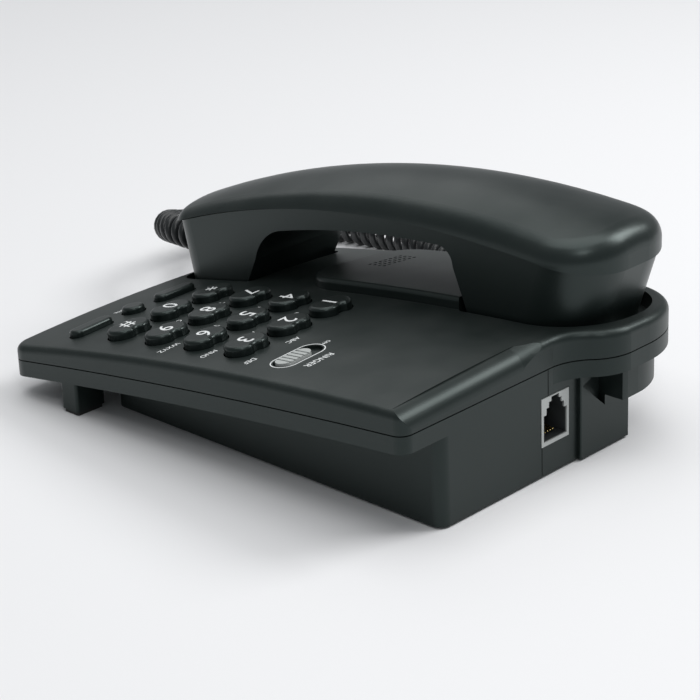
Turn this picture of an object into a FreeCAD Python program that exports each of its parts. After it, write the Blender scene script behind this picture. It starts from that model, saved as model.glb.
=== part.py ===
import FreeCAD, Part
import math
import os
from FreeCAD import Vector as V

# A corded desk telephone with its handset in the cradle.
# Millimetres. X to the user's right, Y to the rear, Z up from the table.
# The origin is under the middle of the telephone, on the table.

# Base case, outside
left_margin = 5.0
right_margin = 10.7
handset_to_keys = 8.9
base_depth = 184.0
front_y = -97.0
corner_radius = 8.0
wall = 2.2
seam_gap = 0.4
bevel_radius = 2.6
rear_round = 5.6
rear_round_fade = 14.0

# Side profile: heights over the table at the front, the middle and the rear
plate_front = 19.9
plate_middle = 36.4
plate_rear = 45.4
plate_crown = 2.4
split_front = 13.0
split_middle = 26.2
split_rear = 36.0
skirt_height = 6.0

# Tub under the case
tub_inset = 15.4
tub_left_inset = 25.0
tub_front_y = -60.0
tub_corner = 4.0
tub_clear = 0.8
weight_width = 52.0
weight_length = 56.0
weight_thick = 2.5
rear_step = 1.5
rear_step_right = 19.1

# Ear cradle at the rear left, its places across given from the handset's middle
cup_reach = 13.0
cup_start = 31.0
cup_flow = 22.0
cup_round = 30.0
cup_bottom = 19.0
bulge_right = 7.0
bulge_inset = 4.3
bulge_front_y = 34.0

# Handset
ear_width = 51.0
mic_width = 46.0
nose_y = -100.0
ear_back_y = 95.8
nose_round = 13.0
ear_round = 20.0
handset_round = 8.0
handset_across = 62.0
crown_nose = 46.4
crown_grip = 70.7
crown_ear = 76.2
shell_overhang = 1.4
back_lean = 0.33
back_lean_z = 60.3
nose_lean = 0.24
nose_lean_z = 46.0
ear_front_y = 47.0
ear_bottom = 39.0
ear_cap_low = 31.0
ear_cap_radius = 15.0
ear_lean = 3.2
mic_lean = 2.4
mic_front_lean = 1.4
mic_front_y = -91.0
mic_rear_y = -59.0
handset_wall = 2.2
mic_depth = 3.6
shell_gap = 0.3
seam_low_z = 39.5
seam_mid_z = 63.5
seam_back_z = 60.5
ear_centre_y = 66.0
ear_hole = 2.4
ear_hole_ring = 6.0
well_clear = 1.2
well_floor = 1.6

# Hump with the ringer slots, between the two cradle cups
hump_side = 24.2
hump_front_y = -30.0
hump_rear_y = 34.0
hump_high = 4.0
hump_low = 2.0
hump_corner = 15.0
hump_edge = 1.4
slot_side = -5.7
slot_front_y = -16.4
slot_pitch = 2.2
slot_step = 2.5
slot_rows = 4
slot_columns = 7
slot_length = 1.6
slot_width = 1.0

# Keys
key_first_y = 3.5
key_pitch = 19.0
key_length = 15.4
key_depth = 10.8
key_waist = 1.0
key_rise = 3.1
key_dome = 1.3
key_gap = 0.45
key_travel = 1.5
key_flange = 1.2
key_flange_reach = 0.9
bar_key_length = 17.0
bar_key_depth = 6.0
bar_key_y = -73.5
round_key_size = 8.0
bar_key_rise = 2.4

# Ringer switch
ringer_side = -1.4
ringer_y = 25.0
ringer_length = 19.0
ringer_depth = 8.0
ringer_recess = 1.2
ringer_slot_length = 9.0
ringer_slot_depth = 3.2
slider_length = 13.4
slider_depth = 5.8
slider_rise = 0.7
slider_ribs = 5
slider_rib_pitch = 2.0
slider_travel = 4.0

# Jacks
jack_side = 30.1
jack_width = 13.2
jack_low = 10.7
jack_high = 26.8
jack_deep = 15.0
jack_out = 0.2
jack_back = 2.0
jack_sill = 1.3
jack_steps = [(11.2, 9.0), (8.6, 11.2), (6.2, 13.0), (3.8, 14.4)]
jack_clear = 0.15
wire_size = 0.5
wire_pitch = 1.27
wire_rise = 1.6
wire_back = 2.5
side_jack_y = 4.0
side_jack_z = 12.0
hand_jack = 9.6
hand_jack_deep = 12.0
hand_jack_z = 28.0
socket_back = 0.9
plug_length = 10.0
plug_out = 0.8

# Hook switch plunger, in the ear cup
plunger_side = 4.6
plunger_y = 56.0
plunger_size = 6.0
plunger_clear = 0.4
plunger_gap = 0.15
plunger_reach = 10.0

# Feet
foot_inset = 1.2
foot_width = 12.0
foot_length = 9.0
foot_y = -67.5
foot_rubber = 1.4
pad_size = 12.0

# Screws
screw_size = 2.6
screw_head = 5.2
screw_head_high = 1.6
screw_head_deep = 3.0
screw_length = 10.0
boss_size = 7.0
boss_seat = 1.8

# Inside
mic_size = 9.7
mic_high = 5.5
mic_seat_z = 26.5
board_thick = 1.6
board_clear = 4.0
keypad_mat_thick = 1.2
keypad_board_thick = 1.2
keypad_drop = 7.3
dome_clear = 0.35
speaker_size = 26.0
board_post = 4.0
handset_post = 5.6
handset_post_side = 17.5
handset_post_y = 54.0
handset_post_low = 44.0
handset_screw = 2.2
key_names = ["1", "2", "3", "4", "5", "6", "7", "8", "9", "star", "0", "hash"]

# Handset cord
cord_coil = 12.6
cord_low = cord_coil / 2

base_width = left_margin + ear_width + handset_to_keys + 2 * key_pitch + key_length + right_margin
half_width = base_width / 2
handset_x = -half_width + left_margin + ear_width / 2
key_first_x = handset_x + ear_width / 2 + handset_to_keys + key_length / 2
key_columns = [key_first_x + i * key_pitch for i in range(3)]
ringer_x = key_columns[2] + ringer_side
cup_start_x = handset_x + cup_start
rear_step_x = handset_x + rear_step_right
cup_bulge_right = handset_x + bulge_right
hump_right = handset_x + hump_side
jack_x = handset_x + jack_side
plunger_x = handset_x + plunger_side
handset_high = crown_ear + 10.0
tub_left_x = -half_width + tub_left_inset
tub_right_x = half_width - tub_inset
tub_middle_x = (tub_left_x + tub_right_x) / 2
boss_low = tub_clear + screw_head_deep + boss_seat
board_z = tub_clear + wall + board_clear
rear_y = front_y + base_depth
middle_y = front_y + base_depth / 2
mid_mic_y = (mic_front_y + mic_rear_y) / 2
mic_place_y = mid_mic_y + 2.0
board_front_y = 20.0
board_rear_y = rear_y - wall - jack_deep - 2.0
speaker_x = handset_x + slot_side
speaker_y = slot_front_y + slot_pitch * (slot_rows - 1) / 2
nose_jack_y = nose_y + shell_overhang + nose_lean * (nose_lean_z - hand_jack_z + hand_jack / 2) + socket_back
nose_plug_y = nose_y + shell_overhang + nose_lean * (nose_lean_z - hand_jack_z - hand_jack / 2) - plug_out


def arc_line(points):
    """The edge through three points."""
    return Part.Arc(points[0], points[1], points[2]).toShape()


def circle_through(points):
    """Centre and radius of the circle through three points of a plane."""
    (x1, y1), (x2, y2), (x3, y3) = points
    d = 2 * (x1 * (y2 - y3) + x2 * (y3 - y1) + x3 * (y1 - y2))
    s1, s2, s3 = x1 * x1 + y1 * y1, x2 * x2 + y2 * y2, x3 * x3 + y3 * y3
    cx = (s1 * (y2 - y3) + s2 * (y3 - y1) + s3 * (y1 - y2)) / d
    cy = (s1 * (x3 - x2) + s2 * (x1 - x3) + s3 * (x2 - x1)) / d
    return cx, cy, math.hypot(x1 - cx, y1 - cy)


plate_circle = circle_through([(front_y, plate_front), (middle_y, plate_middle), (rear_y, plate_rear)])
plate_across = (half_width ** 2 + plate_crown ** 2) / (2 * plate_crown)
split_circle = circle_through([(front_y, split_front), (middle_y, split_middle), (rear_y, split_rear)])
crown_circle = circle_through([(nose_y + 2, crown_nose), (-20.0, crown_grip), (ear_back_y - 21.8, crown_ear)])


def plate_z(x, y):
    """Height of the plate, which is round along Y and a little round across X."""
    cy, cz, along = plate_circle
    radius = along - plate_across + math.sqrt(plate_across ** 2 - x ** 2)
    return cz + math.sqrt(radius ** 2 - (y - cy) ** 2)


def split_z(y):
    """Height of the seam between the two halves of the case."""
    cy, cz, radius = split_circle
    return cz + math.sqrt(radius ** 2 - (y - cy) ** 2)


def domed_slab(circle, across, middle_x, drop, reach, depth, sweep):
    """Everything under a surface that is round along Y and across X, lowered by drop."""
    cy, cz, along = circle
    radius = across - drop
    top = cz + along - drop
    edge = top - radius + math.sqrt(radius ** 2 - reach ** 2)
    a, b, c = V(middle_x - reach, cy, edge), V(middle_x, cy, top), V(middle_x + reach, cy, edge)
    d, e = V(c.x, cy, top - depth), V(a.x, cy, top - depth)
    face = Part.Face(Part.Wire([arc_line([a, b, c]), Part.makeLine(c, d), Part.makeLine(d, e), Part.makeLine(e, a)]))
    face.rotate(V(0, cy, cz), V(1, 0, 0), sweep)
    return face.revolve(V(0, cy, cz), V(1, 0, 0), -2 * sweep)


def under_plate(drop=0.0):
    """Everything under the plate, lowered by drop."""
    return domed_slab(plate_circle, plate_across, 0.0, drop, half_width + 20.0, 110.0, 17.0)


def under_arc(points):
    """A slab of everything under an arc in Y and Z."""
    edge = arc_line(points)
    edge.translate(V(-base_width, 0, 0))
    start, end = edge.Vertexes[0].Point, edge.Vertexes[-1].Point
    low = -60.0
    corners = [end, V(end.x, end.y, low), V(start.x, start.y, low), start]
    sides = [Part.makeLine(a, b) for a, b in zip(corners, corners[1:])]
    face = Part.Face(Part.Wire([edge] + sides))
    return face.extrude(V(2 * base_width, 0, 0))


def under_split(drop=0.0):
    """Everything under the seam of the case, lowered by drop."""
    reach = 40.0
    ys = (front_y - reach, middle_y, rear_y + reach)
    return under_arc([V(0, y, split_z(y) - drop) for y in ys])


def box(x0, x1, y0, y1, z0, z1):
    return Part.makeBox(x1 - x0, y1 - y0, z1 - z0, V(x0, y0, z0))


def case_outline(inset, low, high):
    """The base in plan: a rounded rectangle with the cradle cup behind it."""
    x0, x1 = -half_width + inset, half_width - inset
    y0, y1 = front_y + inset, rear_y - inset
    cup_y = rear_y + cup_reach - inset
    r = max(corner_radius - inset, 1.0)
    flow = cup_flow
    start = cup_start_x - inset
    bend = start - flow / 2
    half = (y1 + cup_y) / 2
    cup_r = cup_round - inset
    k = math.sqrt(0.5)
    pieces = [
        Part.makeLine(V(x0 + r, y0, low), V(x1 - r, y0, low)),
        arc_line([V(x1 - r, y0, low), V(x1 - r + r * k, y0 + r - r * k, low), V(x1, y0 + r, low)]),
        Part.makeLine(V(x1, y0 + r, low), V(x1, y1 - r / 2, low)),
        arc_line([V(x1, y1 - r / 2, low), V(x1 - r / 2 + r / 2 * k, y1 - r / 2 + r / 2 * k, low),
                  V(x1 - r / 2, y1, low)]),
        Part.makeLine(V(x1 - r / 2, y1, low), V(start, y1, low)),
    ]
    sag = flow_sag(flow / 2, half - y1)
    pieces.append(arc_line([V(start, y1, low), V((start + bend) / 2, (y1 + half) / 2 - sag, low),
                            V(bend, half, low)]))
    pieces.append(arc_line([V(bend, half, low), V(bend - flow / 4, (half + cup_y) / 2 + sag, low),
                            V(start - flow, cup_y, low)]))
    pieces += [
        Part.makeLine(V(start - flow, cup_y, low), V(x0 + cup_r, cup_y, low)),
        arc_line([V(x0 + cup_r, cup_y, low), V(x0 + cup_r - cup_r * k, cup_y - cup_r + cup_r * k, low),
                  V(x0, cup_y - cup_r, low)]),
        Part.makeLine(V(x0, cup_y - cup_r, low), V(x0, y0 + r, low)),
        arc_line([V(x0, y0 + r, low), V(x0 + r - r * k, y0 + r - r * k, low), V(x0 + r, y0, low)]),
    ]
    return Part.Face(Part.Wire(pieces)).extrude(V(0, 0, high - low))


def flow_sag(run, rise):
    """How far half an S curve bulges from its chord, tangent at its outer end."""
    radius = (run ** 2 + rise ** 2) / (2 * rise)
    return radius - math.sqrt(radius ** 2 - (run ** 2 + rise ** 2) / 4)


def side_profile(edges, x0, x1):
    """A closed outline in Y and Z, from x0 to x1 across."""
    wire = Part.Wire(edges)
    face = Part.Face(wire)
    face.translate(V(x0, 0, 0))
    return face.extrude(V(x1 - x0, 0, 0))


def yz(y, z):
    return V(0, y, z)


mic_low_front = plate_z(handset_x, mic_front_y) - mic_depth
mic_low_rear = plate_z(handset_x, mic_rear_y) - mic_depth


def round_upright(block, front_radius, back_radius):
    """Round a block's four upright edges, with one radius in front and one at the back."""
    middle = block.BoundBox.Center.y
    for radius, front in ((front_radius, True), (back_radius, False)):
        edges = []
        for edge in block.Edges:
            upright = abs(edge.tangentAt(edge.FirstParameter).z) > 0.8
            if upright and (edge.CenterOfMass.y < middle) == front:
                edges.append(edge)
        block = block.makeFillet(radius, edges)
    return block


def handset_plan(inset, spare, low, high):
    """The handset in plan, wider at the ear end and longer by spare at both ends."""
    front, back = nose_y + inset - spare, ear_back_y - inset + spare
    widen = (ear_width - mic_width) / 2 / (ear_back_y - nose_y)
    ear = ear_width / 2 - inset + widen * (spare - inset)
    mic = mic_width / 2 - inset - widen * (spare - inset)
    corners = [V(handset_x - mic, front, low), V(handset_x + mic, front, low), V(handset_x + ear, back, low),
               V(handset_x - ear, back, low)]
    return Part.Face(Part.makePolygon(corners + corners[:1])).extrude(V(0, 0, high - low))


def upper_block(g):
    """The upper half of the handset: upright walls under a rounded crown, drawn in by g."""
    block = handset_plan(g, 0.0, 20.0, handset_high)
    block = round_upright(block, nose_round - g, ear_round - g)
    block = block.common(domed_slab(crown_circle, handset_across, handset_x, g, ear_width, 64.0, 32.0))
    crown = max(block.Faces, key=lambda face: face.CenterOfMass.z)
    return block.makeFillet(handset_round - g, crown.Edges)


def lower_block(g):
    """The lower half of the handset: both ends lean in towards their feet, drawn in by g."""
    inset = shell_overhang + g
    low = 5.0

    def nose_at(z):
        return nose_y + inset + nose_lean * (nose_lean_z - z)

    def back_at(z):
        return ear_back_y - inset - back_lean * (back_lean_z - z)

    corners = [yz(nose_at(low), low), yz(back_at(low), low), yz(back_at(handset_high), handset_high),
               yz(nose_at(handset_high), handset_high)]
    ends = side_profile([Part.makeLine(p, q) for p, q in zip(corners, corners[1:] + corners[:1])],
                        handset_x - ear_width, handset_x + ear_width)
    block = handset_plan(inset, 20.0, low, handset_high).common(ends)
    block = round_upright(block, nose_round - inset, ear_round - inset)
    block = block.common(arch(g))
    return block.fuse(Part.makeCylinder(ear_cap_radius - g, 16.0, V(handset_x, ear_centre_y, ear_cap_low + g)))


def arch(g):
    """All that lies over the handset's underside: its feet and the arch of the grip between them."""
    reach = 40.0
    slope = (mic_low_rear - mic_low_front) / (mic_rear_y - mic_front_y)
    a = yz(mic_front_y - reach, mic_low_front - slope * reach + g)
    i = yz(ear_front_y + g, ear_bottom + g)
    j = yz(ear_front_y - 6.8 + g, 55.5)
    k = yz(34.0, 61.5 + g)
    m = yz(-38.0, 50.6 + g)
    n = yz(mic_rear_y + 6.5 - g, 37.0)
    o = yz(mic_rear_y - g, mic_low_rear + g)
    far = yz(ear_back_y + reach, ear_bottom + g)
    edges = [
        Part.makeLine(a, yz(a.y, handset_high)),
        Part.makeLine(yz(a.y, handset_high), yz(far.y, handset_high)),
        Part.makeLine(yz(far.y, handset_high), far),
        Part.makeLine(far, i),
        Part.makeLine(i, j),
        arc_line([j, yz(38.2 + g * 0.7, 59.9 + g * 0.7), k]),
        arc_line([k, yz(-2.0, 58.0 + g), m]),
        arc_line([m, yz(-47.3 - g * 0.5, 45.8 + g * 0.6), n]),
        Part.makeLine(n, o),
        Part.makeLine(o, a),
    ]
    return side_profile(edges, handset_x - ear_width, handset_x + ear_width)


def shell_split(lift):
    """Everything under the seam between the two handset shells, moved up by lift."""
    points = [(nose_y - 20, seam_low_z - 9.0), (-10.0, seam_mid_z), (ear_back_y + 8, seam_back_z)]
    return under_arc([yz(y, z + lift) for y, z in points])


def handset_shells():
    """The two halves of the handset, hollow, with sound holes in the lower one."""
    upper_inner = upper_block(handset_wall)
    lower_inner = lower_block(handset_wall)
    top = upper_block(0.0).cut(upper_inner).cut(shell_split(shell_gap / 2))
    bottom = lower_block(0.0).cut(lower_inner).common(shell_split(-shell_gap / 2))
    for dx, dy in ear_hole_places():
        hole = Part.makeCylinder(ear_hole / 2, 6.0, V(handset_x + dx, ear_centre_y + dy, ear_cap_low - 3.0))
        bottom = bottom.cut(hole)
    for step in (-1, 0, 1):
        x = handset_x + step * 5.0
        bottom = bottom.cut(box(x - 0.8, x + 0.8, mid_mic_y - 4, mid_mic_y + 4, 5.0, mic_low_rear + 5.0))
    half = hand_jack / 2 + jack_clear
    bottom = bottom.cut(box(handset_x - half, handset_x + half, nose_y - 5.0, nose_jack_y + 4.0,
                            hand_jack_z - half, hand_jack_z + half))
    floor = ear_bottom + handset_wall
    for side in (-1, 1):
        x = handset_x + side * handset_post_side
        post = Part.makeCylinder(handset_post / 2, 60, V(x, handset_post_y, handset_post_low))
        top = top.fuse(post.common(upper_inner)).cut(screw_hole(x, handset_screw / 2 + 0.05))
        seat = Part.makeCylinder(handset_post / 2, handset_post_low - floor + 0.5, V(x, handset_post_y, floor - 0.5))
        bottom = bottom.fuse(seat).cut(screw_hole(x, handset_screw / 2 + 0.3))
        bottom = bottom.cut(Part.makeCylinder(handset_screw, 2.4, V(x, handset_post_y, ear_bottom - 0.4)))
    rest = handset_weight_place(0.0)
    for y in (rest[2] + 3, rest[3] - 5):
        rib = box(rest[0] + 2, rest[1] - 2, y, y + 2, rest[4] - 8, rest[4])
        bottom = bottom.fuse(rib.common(lower_inner))
    ring = Part.makeCylinder(mic_size / 2 + 1.2, mic_high, V(handset_x, mic_place_y, mic_seat_z - 6.0))
    bottom = bottom.fuse(ring.common(lower_inner))
    return biggest(top), biggest(bottom)


def screw_hole(x, radius):
    """A hole for one of the handset's screws."""
    return Part.makeCylinder(radius, 14.0, V(x, handset_post_y, ear_bottom - 1.0))


def handset_weight_place(gap):
    """The box of the handset's steel bar, larger by gap."""
    return (handset_x - 8.0 - gap, handset_x + 8.0 + gap, -14.0 - gap, 18.0 + gap, 63.4 - gap, 66.8 + gap)


def ear_hole_places():
    """One sound hole in the middle and six around it."""
    places = [(0.0, 0.0)]
    for i in range(6):
        angle = math.radians(60 * i)
        places.append((ear_hole_ring * math.cos(angle), ear_hole_ring * math.sin(angle)))
    return places


def biggest(shape):
    return max(shape.Solids, key=lambda s: s.Volume)


def plan_slab(x0, x1, y0, y1, radius_front, radius_back, low, high):
    """A plan outline with its own front and rear corner radii."""
    f, b = radius_front, radius_back
    kf, kb = f * (1 - math.sqrt(0.5)), b * (1 - math.sqrt(0.5))
    pieces = [
        Part.makeLine(V(x0 + f, y0, low), V(x1 - f, y0, low)),
        arc_line([V(x1 - f, y0, low), V(x1 - kf, y0 + kf, low), V(x1, y0 + f, low)]),
        Part.makeLine(V(x1, y0 + f, low), V(x1, y1 - b, low)),
        arc_line([V(x1, y1 - b, low), V(x1 - kb, y1 - kb, low), V(x1 - b, y1, low)]),
        Part.makeLine(V(x1 - b, y1, low), V(x0 + b, y1, low)),
        arc_line([V(x0 + b, y1, low), V(x0 + kb, y1 - kb, low), V(x0, y1 - b, low)]),
        Part.makeLine(V(x0, y1 - b, low), V(x0, y0 + f, low)),
        arc_line([V(x0, y0 + f, low), V(x0 + kf, y0 + kf, low), V(x0 + f, y0, low)]),
    ]
    return Part.Face(Part.Wire(pieces)).extrude(V(0, 0, high - low))


def ear_well(grow, low, high):
    """The cup that takes the handset's ear end, in plan, wider by grow."""
    reach = ear_width / 2 - shell_overhang + well_clear + grow
    return plan_slab(handset_x - reach, handset_x + reach, ear_front_y - ear_lean - well_clear - grow,
                     ear_back_y - shell_overhang + grow, 3.0 + grow, ear_round + 4.0 + grow, low, high)


def mic_well(grow, low, high):
    """The cup that takes the handset's microphone end, in plan, wider by grow."""
    reach = mic_width / 2 - shell_overhang + 0.3 + well_clear + grow
    return plan_slab(handset_x - reach, handset_x + reach, mic_front_y - mic_front_lean - well_clear - grow,
                     mic_rear_y + mic_lean + well_clear + grow, 8.0 + grow, 2.4 + grow, low, high)


def key_plan(grow, low, high):
    """A key seen from above: two round ends and a waist, wider by grow."""
    r = key_depth / 2 + grow
    a = key_length / 2 - key_depth / 2
    waist = r - key_waist
    pieces = [
        arc_line([V(a, r, low), V(0, waist, low), V(-a, r, low)]),
        arc_line([V(-a, r, low), V(-a - r, 0, low), V(-a, -r, low)]),
        arc_line([V(-a, -r, low), V(0, -waist, low), V(a, -r, low)]),
        arc_line([V(a, -r, low), V(a + r, 0, low), V(a, r, low)]),
    ]
    return Part.Face(Part.Wire(pieces)).extrude(V(0, 0, high - low))


def oval_plan(length, depth, low, high):
    """An oval of straight sides and round ends."""
    r = depth / 2
    a = length / 2 - r
    if a < 0.01:
        return Part.makeCylinder(r, high - low, V(0, 0, low))
    pieces = [
        Part.makeLine(V(-a, -r, low), V(a, -r, low)),
        arc_line([V(a, -r, low), V(a + r, 0, low), V(a, r, low)]),
        Part.makeLine(V(a, r, low), V(-a, r, low)),
        arc_line([V(-a, r, low), V(-a - r, 0, low), V(-a, -r, low)]),
    ]
    return Part.Face(Part.Wire(pieces)).extrude(V(0, 0, high - low))


def plate_tilt(x, y):
    """Slope of the plate along Y, in degrees, rising to the rear."""
    return math.degrees(math.atan2(plate_z(x, y + 0.5) - plate_z(x, y - 0.5), 1.0))


def on_plate(shape, x, y):
    """Put a shape drawn flat at the origin on the plate at x and y, square to it."""
    shape = shape.copy()
    shape.rotate(V(0, 0, 0), V(1, 0, 0), plate_tilt(x, y))
    shape.rotate(V(0, 0, 0), V(0, 1, 0), math.degrees(math.asin(x / plate_across)))
    shape.translate(V(x, y, plate_z(x, y)))
    return shape


def key_places():
    """Name, X and Y of each of the twelve dialling keys."""
    places = []
    for i, name in enumerate(key_names):
        places.append((name, key_columns[i % 3], key_first_y - key_pitch * (i // 3)))
    return places


def key_cap(plan, rise):
    """A key: its cap over the plate and a wider flange under it."""
    low = -wall - key_gap
    cap = plan(0.0, low, rise)
    rim = [e for e in cap.Edges if e.BoundBox.ZMin > rise - 0.01]
    cap = cap.makeFillet(key_dome, rim)
    flange = plan(key_flange_reach, low - key_flange, low)
    return cap.fuse(flange).removeSplitter()


def bar_plan(grow, low, high):
    return oval_plan(bar_key_length + 2 * grow, bar_key_depth + 2 * grow, low, high)


def round_plan(grow, low, high):
    return oval_plan(round_key_size + 2 * grow, round_key_size + 2 * grow, low, high)


def function_keys():
    """Name, plan, X and Y of the three keys in the front row."""
    return [("left_function", bar_plan, key_columns[0], bar_key_y),
            ("middle_function", round_plan, key_columns[1], bar_key_y),
            ("right_function", bar_plan, key_columns[2], bar_key_y)]


def hump():
    """The raised middle of the cradle: high on the right, low on the left."""
    left = -half_width + bevel_radius + 0.6
    block = box(left, hump_right, hump_front_y, hump_rear_y + 20, 0, 70)
    block = round_upright(block, hump_corner, 3 * hump_edge)
    fall = math.degrees(math.atan2(hump_high - hump_low, hump_right - left))
    top = under_plate(-hump_low)
    top.rotate(V(left, 0, plate_z(left, 0)), V(0, 1, 0), -fall)
    block = block.common(top)
    face = max(block.Faces, key=lambda f: f.CenterOfMass.z)
    return block.makeFillet(hump_edge, face.Edges).cut(under_plate(wall))


def rear_edge_cut():
    """What the wide rounding of the rear edge takes off, fading out towards the cup."""
    r = rear_round
    tilt = math.radians(plate_tilt(half_width / 2, rear_y))
    cy = rear_y - r
    cz = plate_z(0, rear_y) - r * math.tan(tilt) - r / math.cos(tilt)
    touch = yz(cy - r * math.sin(tilt), cz + r * math.cos(tilt))
    middle = yz(cy + r * math.sin(math.pi / 4 - tilt / 2), cz + r * math.cos(math.pi / 4 - tilt / 2))
    side = yz(rear_y, cz)
    out = 12.0
    corners = [side, yz(rear_y + out, cz), yz(rear_y + out, touch.z + out), yz(touch.y, touch.z + out), touch]
    edges = [Part.makeLine(p, q) for p, q in zip(corners, corners[1:])]
    face = Part.Face(Part.Wire(edges + [arc_line([touch, middle, side])]))
    start = cup_start_x + rear_round_fade
    face.translate(V(start, 0, 0))
    cut = face.extrude(V(half_width + out - start, 0, 0))
    leave = (rear_round - bevel_radius) * 0.5
    far = face.translated(V(-rear_round_fade, leave, leave))
    cut = cut.fuse(Part.makeLoft([face.OuterWire, far.OuterWire], True, True))
    drop = plate_z(0, rear_y) - plate_z(half_width, rear_y)
    cut.rotate(V(0, rear_y, plate_z(0, rear_y)), V(0, 1, 0), math.degrees(math.atan2(drop, half_width)))
    return cut


def upper_case():
    """The top of the case with its cups, key holes and switch slot."""
    outer = case_outline(0.0, -20, 90).common(under_plate()).cut(under_split())
    rim = []
    for edge in outer.Edges:
        mid = edge.valueAt((edge.FirstParameter + edge.LastParameter) / 2)
        if abs(mid.z - plate_z(mid.x, mid.y)) < 0.05:
            rim.append(edge)
    outer = outer.makeFillet(bevel_radius, rim).cut(rear_edge_cut())
    inner = case_outline(wall, -20, 90).common(under_plate(wall))
    shell = outer.cut(inner)
    shell = shell.fuse(hump())
    ear_floor = ear_bottom - well_clear
    ear_cup = ear_well(well_floor, ear_floor - well_floor, 60).common(under_plate(0.3))
    mic_low = mic_depth + well_clear
    mic_cup = mic_well(well_floor, 0, 60).common(under_plate(0.3)).cut(under_plate(mic_low + well_floor))
    mic_cup = mic_cup.cut(under_split())
    shell = shell.fuse(ear_cup).fuse(mic_cup)
    cap_floor = ear_cap_low - well_clear
    cap_reach = ear_cap_radius + well_clear
    cap_at = V(handset_x, ear_centre_y, cap_floor)
    cap_cup = Part.makeCylinder(cap_reach + well_floor, ear_floor - cap_floor, cap_at - V(0, 0, well_floor))
    shell = shell.fuse(cap_cup).cut(Part.makeCylinder(cap_reach, 30.0, cap_at))
    shell = shell.cut(ear_well(0.0, ear_floor, 90))
    shell = shell.cut(mic_well(0.0, 0, 90).cut(under_plate(mic_low)))
    for name, x, y in key_places():
        shell = shell.cut(on_plate(key_plan(key_gap, -8, 8), x, y))
    for name, plan, x, y in function_keys():
        shell = shell.cut(on_plate(plan(key_gap, -8, 8), x, y))
    shell = shell.cut(on_plate(oval_plan(ringer_length, ringer_depth, -ringer_recess, 5), ringer_x, ringer_y))
    slot = box(-ringer_slot_length / 2, ringer_slot_length / 2, -ringer_slot_depth / 2, ringer_slot_depth / 2,
               -6, 6)
    shell = shell.cut(on_plate(slot, ringer_x, ringer_y))
    for row in range(slot_rows):
        for column in range(slot_columns):
            x = speaker_x + (column - (slot_columns - 1) / 2) * slot_step
            y = slot_front_y + row * slot_pitch
            hole = oval_plan(slot_length, slot_width, -12, 14)
            shell = shell.cut(on_plate(hole, x, y))
    plunger = Part.makeCylinder(plunger_size / 2 + plunger_clear, 30, V(plunger_x, plunger_y, cap_floor - 12))
    shell = shell.cut(plunger)
    for x, y in boss_places():
        post = Part.makeCylinder(boss_size / 2, plate_z(x, y) - wall / 2 - boss_low, V(x, y, boss_low))
        post = post.cut(Part.makeCylinder(screw_size / 2 + 0.05, screw_length, V(x, y, boss_low)))
        shell = shell.fuse(post)
    for x, y in board_post_places():
        post = keypad_frame(Part.makeCylinder(board_post / 2, 12.0, V(x, y, -0.05)))
        shell = shell.fuse(post.common(under_plate(wall / 2)))
    ring = Part.makeCylinder(speaker_size / 2 + 1.6, 4.0, V(0, 0, -wall - 3.6))
    ring = ring.cut(Part.makeCylinder(speaker_size / 2 + 0.2, 10.0, V(0, 0, -wall - 6.0)))
    ring = on_plate(ring, speaker_x, speaker_y).common(under_plate(wall / 2))
    shell = shell.fuse(ring)
    return biggest(shell)


def board_post_places():
    """Where the keypad board hangs on its four posts, from the middle of the board."""
    x, y = keypad_board_size()[0] / 2 - 2.6, keypad_board_size()[1] / 2 - 2.6
    return [(-x, -y), (x, -y), (x, y), (-x, y)]


def keypad_board_size():
    """Width and length of the keypad board."""
    return key_columns[2] - key_columns[0] + key_length + 12.0, key_first_y - bar_key_y + 16.0


def boss_places():
    """X and Y of the four screws that hold the case together."""
    between_x = (key_columns[1] + key_columns[2]) / 2
    between_y = key_first_y - 2.5 * key_pitch
    right = half_width - tub_inset
    return [(tub_left_x + 8, tub_front_y + 9), (between_x, between_y), (right - 9, rear_y - 10),
            (tub_left_x + 13, hump_rear_y - 4)]


def tub_block(inset, low):
    """The deep part under the case, drawn in by inset."""
    x0, x1 = -half_width + tub_left_inset + inset, half_width - tub_inset - inset
    block = plan_slab(x0, x1, tub_front_y + inset, rear_y - inset, tub_corner, tub_corner, low, 60)
    return block


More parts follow.
